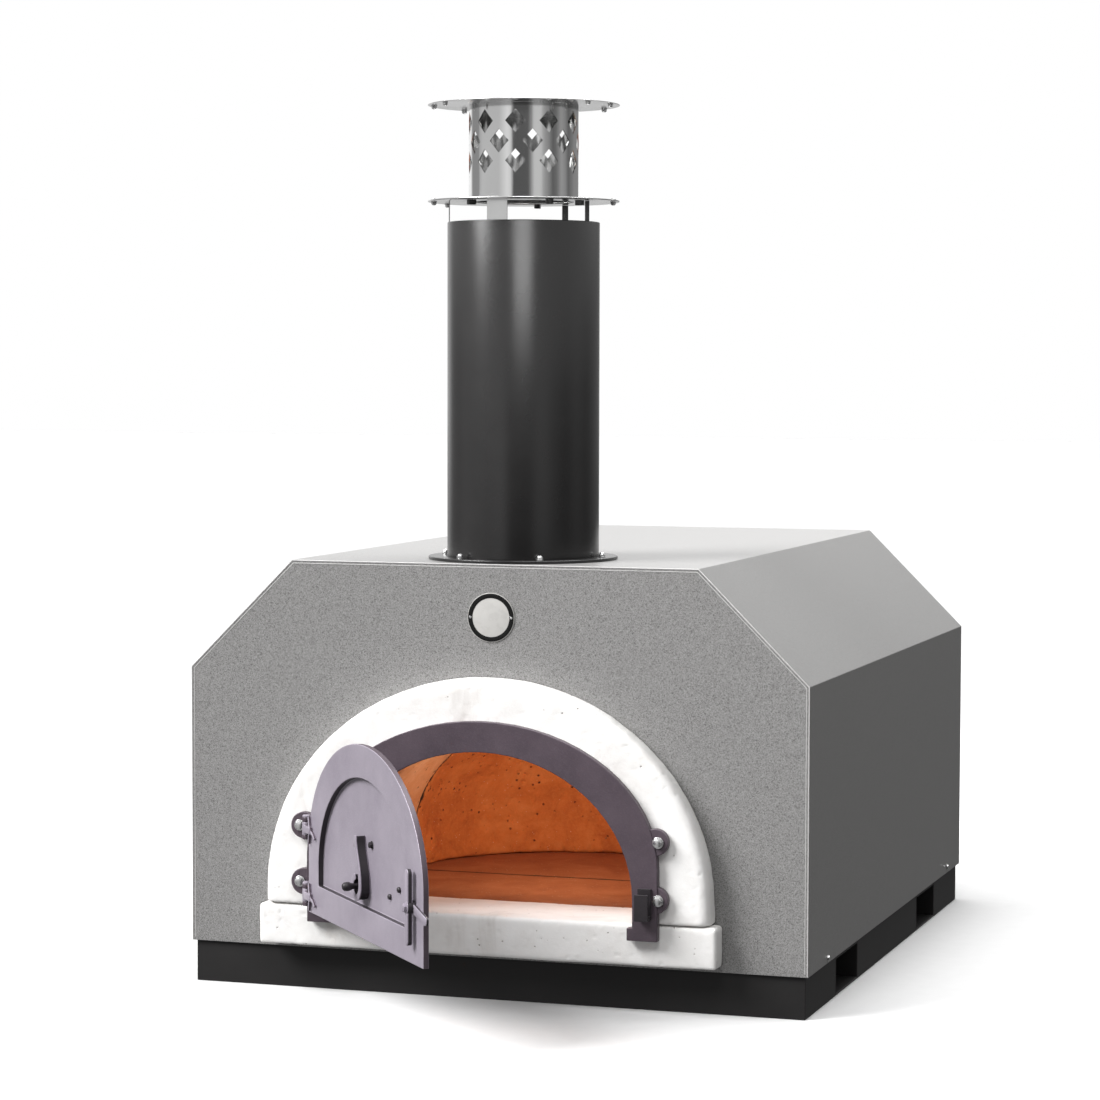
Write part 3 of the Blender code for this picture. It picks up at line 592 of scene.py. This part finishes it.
def panel_outline():
    """The front panel's (x, z) corners, starting at the bottom left and leaving the bottom edge for last."""
    close, straight, level = 0.002, math.radians(5), 0.001
    flat = [Vector((v.co.x, v.co.z)) for v in NODES["hood_front_panel"].data.vertices]
    hull = []
    for index in geometry.convex_hull_2d(flat):
        if all((flat[index] - point).length > close for point in hull):
            hull.append(flat[index])
    outline = []
    for before, here, after in zip(hull[-1:] + hull[:-1], hull, hull[1:] + hull[:1]):
        if (here - before).angle(after - here) > straight:
            outline.append(here)
    low = min(point.y for point in outline)
    first = max(range(len(outline)), key=lambda i: (outline[i].y < low + level, -outline[i].x))
    outline = outline[first:] + outline[:first]
    if outline[1].y < low + level:
        outline = outline[:1] + outline[:0:-1]
    return outline


def make_edge_beads():
    """Two thin beads, painted bright as a highlight on the folded edge, that run up the sides, the slopes and
    across the top of the front panel.
    """
    outline = panel_outline()
    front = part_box("hood_front_panel")[0].y
    sunk = 0.0001
    for name, inset, width in BEADS:
        bm = bmesh.new()
        rows = []
        for step in range(5):
            angle = math.pi * step / 4
            edge = shrunk(outline, inset + 0.5 * width * (1 - math.cos(angle)))
            depth = front + sunk - 0.5 * width * math.sin(angle)
            rows.append([bm.verts.new((point.x, depth, point.y)) for point in edge])
        for near, far in zip(rows, rows[1:] + rows[:1]):
            for i in range(len(outline) - 1):
                bm.faces.new((near[i], near[i + 1], far[i + 1], far[i]))
        for end in (0, len(outline) - 1):
            bm.faces.new([row[end] for row in rows])
        trim(new_piece(name, bm), BEAD_HIGHLIGHT, "oven")


def make_hood_screws():
    for side, sign in (("left", -1), ("right", 1)):
        for place in ("front", "rear"):
            node = f"hood_screw_{side}_{place}"
            low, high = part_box(node)
            root = Vector((low.x if sign > 0 else high.x, middle(node).y, middle(node).z))
            show(node, ZINC, hex_head(**HOOD_SCREW), standing_at(root, (sign, 0, 0)))


def make_badge():
    """A plain round plate with a black enamel ring and two small rivets."""
    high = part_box("badge_plate")[1]
    centre = middle("badge_plate")
    radius = half_width("badge_plate")
    thick = 2 * (high.y - centre.y)
    place = standing_at(Vector((centre.x, high.y, centre.z)), (0, -1, 0))
    disc = rounded_disc(radius, 0.0, 0.75 * thick, 0.0004)
    show("badge_plate", BADGE_PALE, lathe(disc, 72), place)
    ring = rounded_ring(0.79 * radius, 0.975 * radius, 0.70 * thick, thick, 0.0002)
    trim(new_piece("badge_ring", lathe(ring, 72), matrix=place), BADGE_RING, "oven")
    rivet = rounded_disc(0.0017, 0.8 * thick, 1.25 * thick, 0.0002)
    for name, side in (("badge_rivet_left", -1), ("badge_rivet_right", 1)):
        piece = new_piece(name, lathe(rivet, 16, (side * 0.872 * radius, 0)), matrix=place)
        trim(piece, ZINC, "oven")


# ---------------------------------------------------------------- castings round the mouth and in the chamber
def make_castings():
    cast("sill_slab", STONE, voxel=0.0025, rounds=9, swell=0.0006, pit=0.0035, seed=1.3)
    surround = cast("arch_surround", STONE, voxel=0.0028, rounds=9, swell=0.0007, pit=0.0030, seed=4.1)
    low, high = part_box("arch_surround")
    heart = Vector(((low.x + high.x) / 2, 0, low.z + 0.35 * (high.z - low.z)))
    soot_and_shade_starts = low.y + 0.15 * (high.y - low.y)

    # Faces of the surround that look into the mouth, past its front part, get the near-black clay: sooted, with
    # painted shade.
    def inside(face):
        inwards = Vector((heart.x - face.center.x, 0, heart.z - face.center.z)).normalized()
        return face.normal.dot(inwards) > 0.6 and face.center.y > soot_and_shade_starts

    darken(surround, SOOT_AND_SHADE, inside)
    cast("vault_front", CLAY_FRONT, voxel=0.0040, rounds=3, swell=0.0008, pit=0.0060, seed=7.7)
    cast("vault_rear", CLAY_REAR, voxel=0.0040, rounds=3, swell=0.0009, pit=0.0090, seed=9.2)
    refined("hearth_front_slab", CLAY_HEARTH, 0.0012)
    refined("hearth_rear_slab", CLAY_HEARTH, 0.0012)
    for node in ("floor_insulation_board", "insulation_blanket_front", "insulation_blanket_rear",
                 "insulation_block_rear"):
        NODES[node].data.materials.clear()
        NODES[node].data.materials.append(FIBRE)


# ---------------------------------------------------------------- iron frame, hinges and keeper
FRAME_BOLT = {"across": 0.0105, "height": 0.0044, "washer": 0.0078, "thick": 0.0014}
FRAME_BOLT_REACH = 0.0075         # from the front of a bolt's head back to the ear it stands on


def make_iron_frame():
    refined("door_frame", IRON_DARK, 0.0010, 3)
    refined("latch_keeper", IRON_BLACK, 0.0006)
    for side, turn in (("left", 231), ("right", 242)):
        for level in ("lower", "upper"):
            node = f"frame_bolt_{side}_{level}"
            centre = middle(node)
            root = Vector((centre.x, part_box(node)[0].y + FRAME_BOLT_REACH, centre.z))
            show(node, ZINC, hex_head(**FRAME_BOLT, turn=turn), standing_at(root, (0, -1, 0)))
    make_hinge_pin("hinge_pin_lower")
    make_hinge_pin("hinge_pin_upper")


def make_hinge_pin(node):
    """A straight pin, chamfered at its foot, with a low round cap."""
    low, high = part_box(node)
    radius, cap = 0.0034, 0.0057
    profile = [(0, low.z), (0.7 * radius, low.z), (radius, low.z + 0.0007), (radius, high.z - 0.0036),
               (cap, high.z - 0.0034), (cap, high.z - 0.0014), (0.75 * cap, high.z - 0.0003), (0, high.z)]
    show(node, IRON_LIGHT, lathe(profile, 28, middle(node)))


# ---------------------------------------------------------------- door
def door_box(node):
    """Lowest and highest corners of a CAD node in the door's own frame, with -Y outwards."""
    back = DOOR_PLACE.inverted()
    points = [back @ vert.co for vert in NODES[node].data.vertices]
    low = Vector([min(p[i] for p in points) for i in range(3)])
    high = Vector([max(p[i] for p in points) for i in range(3)])
    return low, high


def on_door(node):
    """Where a CAD node is rooted on the door, facing outwards, and how far it reaches out."""
    low, high = door_box(node)
    root = Vector(((low.x + high.x) / 2, high.y, (low.z + high.z) / 2))
    return DOOR_PLACE @ standing_at(root, (0, -1, 0)), high.y - low.y


def plate_on_door(outline, low, high, soft):
    """A plate with softened edges on (x, z) points in the door's frame, between two distances outwards."""
    bar = moved(prism(outline, low, high), Z_TO_MINUS_Y)
    bmesh.ops.recalc_face_normals(bar, faces=bar.faces)
    return soften(bar, soft)


def stroke(points, width, taper=1.0):
    """Outline of a bar that follows (x, z) points, narrowing towards its far end."""
    left, right = [], []
    for i, point in enumerate(points):
        along = Vector(points[min(i + 1, len(points) - 1)]) - Vector(points[max(i - 1, 0)])
        half = 0.5 * width * (1 + (taper - 1) * i / (len(points) - 1))
        side = Vector((-along.y, along.x)).normalized() * half
        left.append(tuple(Vector(point) + side))
        right.append(tuple(Vector(point) - side))
    return left + right[::-1]


STRAP_BACK = 0.0011               # from the pin's axis out to the back of the strap
STRAP_RIB = 0.0052                # width of a rib at its root
STRAP_RIBS = (                    # (x, z) from the middle of the knuckle, and how much the rib narrows
    (((0.0290, 0.000), (0.0225, 0.006), (0.0205, 0.019)), 0.6),
    (((0.0290, 0.000), (0.0225, -0.006), (0.0205, -0.019)), 0.6),
    (((0.0280, -0.001), (0.0380, -0.004), (0.0465, -0.010)), 0.5))


def make_strap(node):
    """A hinge strap: knuckle, short arm and a forked rib that lies along the door's edge."""
    low, high = door_box(node)
    middle_z = (low.z + high.z) / 2
    front = -low.y
    knuckle_half, rib_step = 0.0090, 0.0010
    foot, head = middle_z - knuckle_half, middle_z + knuckle_half
    knuckle = lathe(rounded_ring(0.0038, 0.0062, foot, head, 0.0005), 28)
    corners = ((0.003, -0.0058), (0.030, -0.0050), (0.030, 0.0050), (0.003, 0.0058))
    arm = plate_on_door([(x, middle_z + z) for x, z in corners], STRAP_BACK, front, 0.0012)
    ribs = []
    for points, taper in STRAP_RIBS:
        outline = stroke([(x, middle_z + z) for x, z in points], STRAP_RIB, taper)
        ribs.append(plate_on_door(outline, STRAP_BACK, front - rib_step, 0.0009))
    return show(node, IRON_LIGHT, merged(knuckle, arm, *ribs), DOOR_PLACE)


def make_handle_lip():
    """The light outer lip that runs along the scroll, a little wider than its web."""
    overhang, height, soft = 0.0016, 0.0011, 0.0004
    bm = welded("door_handle")
    web = [face for face in bm.faces if face.normal.dot(DOOR_OUTWARDS) < 0.9]
    bmesh.ops.delete(bm, geom=web, context="FACES")
    shifts = {}
    for edge in bm.edges:
        if len(edge.link_faces) == 1:
            start, end = (vert.co for vert in edge.verts)
            side = (end - start).cross(DOOR_OUTWARDS).normalized()
            if side.dot((start + end) / 2 - edge.link_faces[0].calc_center_median()) < 0:
                side.negate()
            for vert in edge.verts:
                shifts[vert] = shifts.get(vert, Vector()) + side
    for vert, shift in shifts.items():
        vert.co += shift.normalized() * overhang
    thick = bmesh.ops.extrude_face_region(bm, geom=bm.faces[:])
    for item in thick["geom"]:
        if isinstance(item, bmesh.types.BMVert):
            item.co += DOOR_OUTWARDS * height
    bmesh.ops.recalc_face_normals(bm, faces=bm.faces)
    trim(new_piece("door_handle_lip", soften(bm, soft)), IRON_LIGHT, "door")


def make_lever():
    """The latch lever: a deep bar with rounded ends on a round hub, and a tongue reaching past the door."""
    low, high = door_box("latch_lever")
    bolt_low, bolt_high = door_box("latch_pivot_bolt")
    x = (bolt_low.x + bolt_high.x) / 2
    z = (bolt_low.z + bolt_high.z) / 2
    front, back, tip = -low.y, -high.y, high.x
    half, end = 0.0062, 0.007                # half the bar's width, length of its rounded ends
    reach = high.z - z - end
    outline = []
    for side, first in ((1, 0), (-1, 180)):
        for step in range(7):
            angle = math.radians(first + 30 * step)
            outline.append((x + half * math.cos(angle), z + side * reach + end * math.sin(angle)))
    grip = plate_on_door(outline, back + 0.35 * (front - back), front, 0.0014)
    hub = lathe(rounded_ring(0.0038, 0.0088, back, front + 0.0002, 0.0007), 32)
    moved(hub, Matrix.Translation((x, 0, z)) @ Z_TO_MINUS_Y)
    tongue = [(x, z - 0.0062), (tip - 0.010, z - 0.0165), (tip - 0.002, z - 0.0158), (tip, z - 0.0120),
              (tip, z - 0.0066), (x + 0.006, z + 0.0048), (x, z + 0.0048)]
    blade = plate_on_door(tongue, back, back + 0.0042, 0.0010)
    return show("latch_lever", IRON_LIGHT, merged(grip, hub, blade), DOOR_PLACE)


def make_knob():
    """The peg in the handle's curl: a waisted stem with a rounded head."""
    place, reach = on_door("handle_knob")
    shape = [(0, 0.0), (0.0050, 0.0), (0.0050, 0.05), (0.0038, 0.12), (0.0034, 0.42), (0.0042, 0.58),
             (0.0058, 0.70), (0.0062, 0.80), (0.0056, 0.91), (0.0036, 0.98), (0, 1.0)]
    show("handle_knob", IRON_BLACK, lathe([(radius, part * reach) for radius, part in shape], 28), place)


HANDLE_BOLT = {"across": 0.0078, "height": 0.0034, "washer": 0.0052, "thick": 0.0010, "turn": 8.0}
LATCH_BOLT = {"across": 0.0096, "height": 0.0028, "washer": 0.0062, "thick": 0.0008, "turn": 20.0}
LATCH_BOLT_REACH = 0.0046         # from the front of the bolt's head back to the lever


def make_door():
    plate = refined("door_plate", IRON_LIGHT, 0.0011, 3)
    centre = middle("door_plate")

    def side_on(face):
        return abs(face.normal.dot(DOOR_OUTWARDS)) < 0.3

    # Painted shade: the recess walls get the black iron and the plate's outer edges the darker frame iron.
    darken(plate, IRON_BLACK, lambda face: side_on(face) and face.normal.dot(centre - face.center) > 0)
    darken(plate, IRON_DARK, lambda face: side_on(face) and face.normal.dot(centre - face.center) <= 0)
    # Painted shade: the side faces of the straps and of the handle take a darker iron than their fronts.
    darken(make_strap("hinge_strap_lower"), IRON_DARK, side_on)
    darken(make_strap("hinge_strap_upper"), IRON_DARK, side_on)
    darken(refined("door_handle", IRON_LIGHT, 0.0009), IRON_BLACK, side_on)
    make_handle_lip()
    for node in ("handle_bolt_left", "handle_bolt_right"):
        show(node, IRON_BLACK, hex_head(**HANDLE_BOLT), on_door(node)[0])
    for node in ("door_stud_left", "door_stud_right"):
        place, reach = on_door(node)
        stud = lathe([(0, 0), (0.0038, 0), (0.0038, 0.55 * reach), (0.0028, 0.9 * reach), (0, reach)], 20)
        show(node, IRON_BLACK, stud, place)
    make_knob()
    # Painted shade: the lever's side faces are black.
    darken(make_lever(), IRON_BLACK, side_on)
    place, reach = on_door("latch_pivot_bolt")
    place = place @ Matrix.Translation((0, 0, reach - LATCH_BOLT_REACH))
    show("latch_pivot_bolt", IRON_LIGHT, hex_head(**LATCH_BOLT), place)


# ---------------------------------------------------------------- chimney and cowl
def radial_normals(piece, axis):
    """Give a sheet cylinder normals that point straight out or in, so that it mirrors cleanly."""
    mesh = piece.data
    normals = []
    for face in mesh.polygons:
        for index in face.vertices:
            point = mesh.vertices[index].co
            out = Vector((point.x - axis.x, point.y - axis.y, 0)).normalized()
            along = out.dot(face.normal)
            normals.append(out * (1 if along > 0 else -1) if abs(along) > 0.9 else face.normal)
    mesh.normals_split_custom_set(normals)


FLANGE_BORE, LOWER_PLATE_BORE = 0.0770, 0.0702
LINER_WALL = 0.002
FLANGE_NUT = {"across": 0.0082, "height": 0.0030, "washer": 0.0052, "thick": 0.0007, "dome": 0.0030}


def make_chimney():
    axis = middle("chimney_pipe")
    low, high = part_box("chimney_pipe")
    radius = half_width("chimney_pipe")
    wall = 0.0015
    section = [(radius, low.z), (radius, high.z - 0.0012), (radius - 0.0004, high.z - 0.0004),
               (radius - 0.5 * wall, high.z), (radius - wall + 0.0003, high.z - 0.0004),
               (radius - wall, high.z - 0.0012), (radius - wall, low.z)]
    show("chimney_pipe", PIPE_BLACK, lathe(section, 144, axis))
    low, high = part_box("chimney_flange")
    section = rounded_ring(FLANGE_BORE, half_width("chimney_flange"), low.z, high.z, 0.0011)
    show("chimney_flange", PIPE_BLACK, lathe(section, 120, axis))
    low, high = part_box("flue_liner")
    outer = half_width("flue_liner")
    section = rounded_ring(outer - LINER_WALL, outer, low.z, high.z, 0.0006)
    show("flue_liner", STEEL, lathe(section, 96, axis))
    for index in range(6):
        node = f"flange_bolt_{index + 1}"
        root = Vector((middle(node).x, middle(node).y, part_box(node)[0].z))
        show(node, ZINC, hex_head(**FLANGE_NUT, turn=17.0 * index), standing_at(root))


CAP_BOLTS_HIGH = (-164, -131, 151, -27, 44, 1)       # headings in degrees of the bolts in the top plate
CAP_BOLTS_LOW = (-158, 168, 12)                      # and in the lower plate
CAP_CLIPS = (-132, -46, -2, 95)                      # tabs that hold the cylinder to the lower plate
CAP_BOLT_CIRCLE = 0.126                              # radius on which the bolts stand
CAP_NUT = {"across": 0.0064, "height": 0.0030, "washer": 0.0044, "thick": 0.0006, "dome": 0.0016}
TOP_SHEET = 0.0009                                   # thin enough to leave room for the low heads on it
CLIP_OUTLINE = ((0.0775, -0.0036), (0.0890, -0.0036), (0.0890, 0.0036), (0.0775, 0.0036))


def make_cowl():
    axis = middle("chimney_pipe")
    low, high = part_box("cap_lower_plate")
    outer = half_width("cap_lower_plate")
    section = rounded_ring(LOWER_PLATE_BORE, outer, low.z, high.z, 0.0006)
    show("cap_lower_plate", STEEL, lathe(section, 120, axis))
    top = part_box("cap_top_plate")[0].z
    show("cap_top_plate", STEEL, lathe(rounded_disc(outer, top, top + TOP_SHEET, 0.0003), 120, axis))
    basket = show("cap_basket", MIRROR, welded("cap_basket"))
    radial_normals(basket, axis)
    for index, finish in enumerate((STEEL, STEEL_DARK, STEEL_DARK, STEEL)):
        refined(f"cap_leg_{index + 1}", finish, 0.0004)
    bolts = [("high", heading, top, top + TOP_SHEET, 0.0010) for heading in CAP_BOLTS_HIGH]
    bolts += [("low", heading, low.z, high.z, 0.0032) for heading in CAP_BOLTS_LOW]
    for index, (level, heading, under, over, tall) in enumerate(bolts):
        turn = math.radians(heading)
        across = CAP_BOLT_CIRCLE * Vector((math.cos(turn), math.sin(turn), 0))
        spot = Vector((axis.x, axis.y, 0)) + across
        head = lathe(rounded_disc(0.0036, 0.0, tall, 0.45 * tall), 20)
        moved(head, standing_at(spot + Vector((0, 0, over))))
        nut = hex_head(**CAP_NUT, turn=31.0 * index)
        moved(nut, standing_at(spot + Vector((0, 0, under)), (0, 0, -1)))
        trim(new_piece(f"cap_bolt_{level}_{index + 1}", merged(head, nut)), ZINC, "oven")
    for index, heading in enumerate(CAP_CLIPS):
        clip = soften(prism(CLIP_OUTLINE, low.z - 0.0052, high.z + 0.0040), 0.0006)
        turn = Matrix.Rotation(math.radians(heading), 4, "Z")
        place = Matrix.Translation(Vector((axis.x, axis.y, 0))) @ turn
        trim(new_piece(f"cap_clip_{index + 1}", clip, matrix=place), STEEL_DARK, "oven")


# ---------------------------------------------------------------- floor, lights and camera
def make_floor():
    finish = Surface("pale_floor")
    grain = finish.noise(40, 2.0)
    colour = finish.ramp(grain, (0.3, (0.79, 0.79, 0.79)), (0.7, (0.81, 0.81, 0.81)))
    bm = bmesh.new()
    bmesh.ops.create_grid(bm, x_segments=1, y_segments=1, size=30)
    floor = new_piece("floor", bm)
    floor.data.materials.append(finish.finished(colour, finish.fit(grain, 0.75, 0.8)))
    floor.visible_glossy = False
    floor.visible_diffuse = False


# Screens round the oven that only polished metal sees: heading in degrees, tone
STUDIO = ((-180, 0.45), (-168, 0.57), (-125, 0.57), (-106, 0.85), (-99, 0.75), (-93, 0.10), (-63, 0.10),
          (-56, 0.30), (-50, 0.64), (-36, 0.64), (-28, 0.39), (-18, 0.28), (-8, 0.13), (2, 0.18), (13, 0.36),
          (26, 0.28), (36, 0.14), (60, 0.26), (92, 0.26), (99, 1.00), (140, 1.00), (152, 0.29), (180, 0.30))
STUDIO_CEILING = (0.95, 0.95, 0.95)
BACKDROP = (1.0, 1.0, 1.0)
BAND_TOP = (0.14, 0.30)           # heights on the sky between which the screens give way to the ceiling
UNDER_HORIZON = 0.62              # how much dimmer the same screens are below the horizon
HORIZON_BLEND = -0.015            # height on the sky where they are fully dimmed
WORLD_DIFFUSE = 0.27              # strength of the studio as a lamp; the backdrop itself stays white


def make_world():
    """A white studio, in which polished metal mirrors dark and pale screens."""
    world = bpy.data.worlds.new("studio")
    bpy.context.scene.world = world
    world.use_nodes = True
    graph = Graph(world.node_tree)
    direction = graph.add("ShaderNodeTexCoord").outputs["Generated"]
    height = graph.component(direction, "Z")
    heading = graph.add("ShaderNodeTexGradient", gradient_type="RADIAL")
    graph.feed(heading.inputs["Vector"], direction)
    screens = graph.ramp(heading.outputs["Fac"], *(((degrees + 180) / 360, tone) for degrees, tone in STUDIO))
    dimmed = graph.add("ShaderNodeVectorMath", operation="SCALE")
    graph.feed(dimmed.inputs[0], screens)
    graph.feed(dimmed.inputs["Scale"], graph.fit(height, UNDER_HORIZON, 1.0, HORIZON_BLEND, 0.0))
    mirrored = graph.mix(graph.fit(height, 0.0, 1.0, *BAND_TOP), dimmed.outputs[0], STUDIO_CEILING)
    path = graph.add("ShaderNodeLightPath")
    mirror_ray = path.outputs["Is Glossy Ray"]
    seen = graph.maths("MAXIMUM", path.outputs["Is Camera Ray"], mirror_ray)
    background = world.node_tree.nodes["Background"]
    graph.feed(background.inputs["Color"], graph.mix(mirror_ray, BACKDROP, mirrored))
    graph.feed(background.inputs["Strength"], graph.fit(seen, WORLD_DIFFUSE, 1.0))


WHITE, EMBER = (1.0, 1.0, 1.0), (1.0, 0.80, 0.60)
AREA_LIGHTS = (                   # name, where it is, where it aims, side in metres, watts, colour
    ("overhead", (0.3, 0.5, 3.4), (0.1, 0.2, 0.5), 2.0, 130, WHITE),
    ("front_top", (0.5, -2.0, 1.9), (0.05, -0.52, 0.52), 0.8, 13, WHITE),
    ("chamber_glow", (0.05, -0.40, 0.325), (-0.02, 0.02, 0.27), 0.05, 0.85, EMBER))
SUN_DIRECTION = Vector((0.62, 0.44, -0.65))
SUN_STRENGTH = 4.9
SUN_SPREAD = math.radians(32)


def add_light(data, where, direction):
    light = bpy.data.objects.new(data.name, data)
    bpy.context.scene.collection.objects.link(light)
    light.location = where
    light.rotation_euler = direction.to_track_quat("-Z", "Y").to_euler()


def make_lights():
    sun = bpy.data.lights.new("key", "SUN")
    sun.energy = SUN_STRENGTH
    sun.angle = SUN_SPREAD
    add_light(sun, (0, 0, 0), SUN_DIRECTION)
    for name, where, aim, side, power, colour in AREA_LIGHTS:
        area = bpy.data.lights.new(name, "AREA")
        area.shape = "SQUARE"
        area.size = side
        area.energy = power
        area.color = colour
        add_light(area, where, Vector(aim) - Vector(where))


CAMERA_AT = Vector((1.4678, -4.7457, 0.8884))
CAMERA_HEADING, CAMERA_DIP, CAMERA_ROLL = 18.143, 3.385, 0.124     # degrees
LENS, SENSOR = 106.77, 36.0                                        # millimetres


def make_camera():
    """The camera stands to the right of the mouth, a little above the hood, with a long lens."""
    data = bpy.data.cameras.new("camera")
    data.lens = LENS
    data.sensor_width = SENSOR
    camera = bpy.data.objects.new("camera", data)
    bpy.context.scene.collection.objects.link(camera)
    heading = Matrix.Rotation(math.radians(CAMERA_HEADING), 4, "Z")
    tilt = Matrix.Rotation(math.radians(90 - CAMERA_DIP), 4, "X")
    roll = Matrix.Rotation(math.radians(CAMERA_ROLL), 4, "Z")
    camera.matrix_world = Matrix.Translation(CAMERA_AT) @ heading @ tilt @ roll
    bpy.context.scene.camera = camera


make_camera()
make_base_and_hood()
make_hood_screws()
make_badge()
make_castings()
make_iron_frame()
make_door()
make_chimney()
make_cowl()
make_floor()
make_world()
make_lights()
bpy.context.scene.view_settings.view_transform = "Standard"
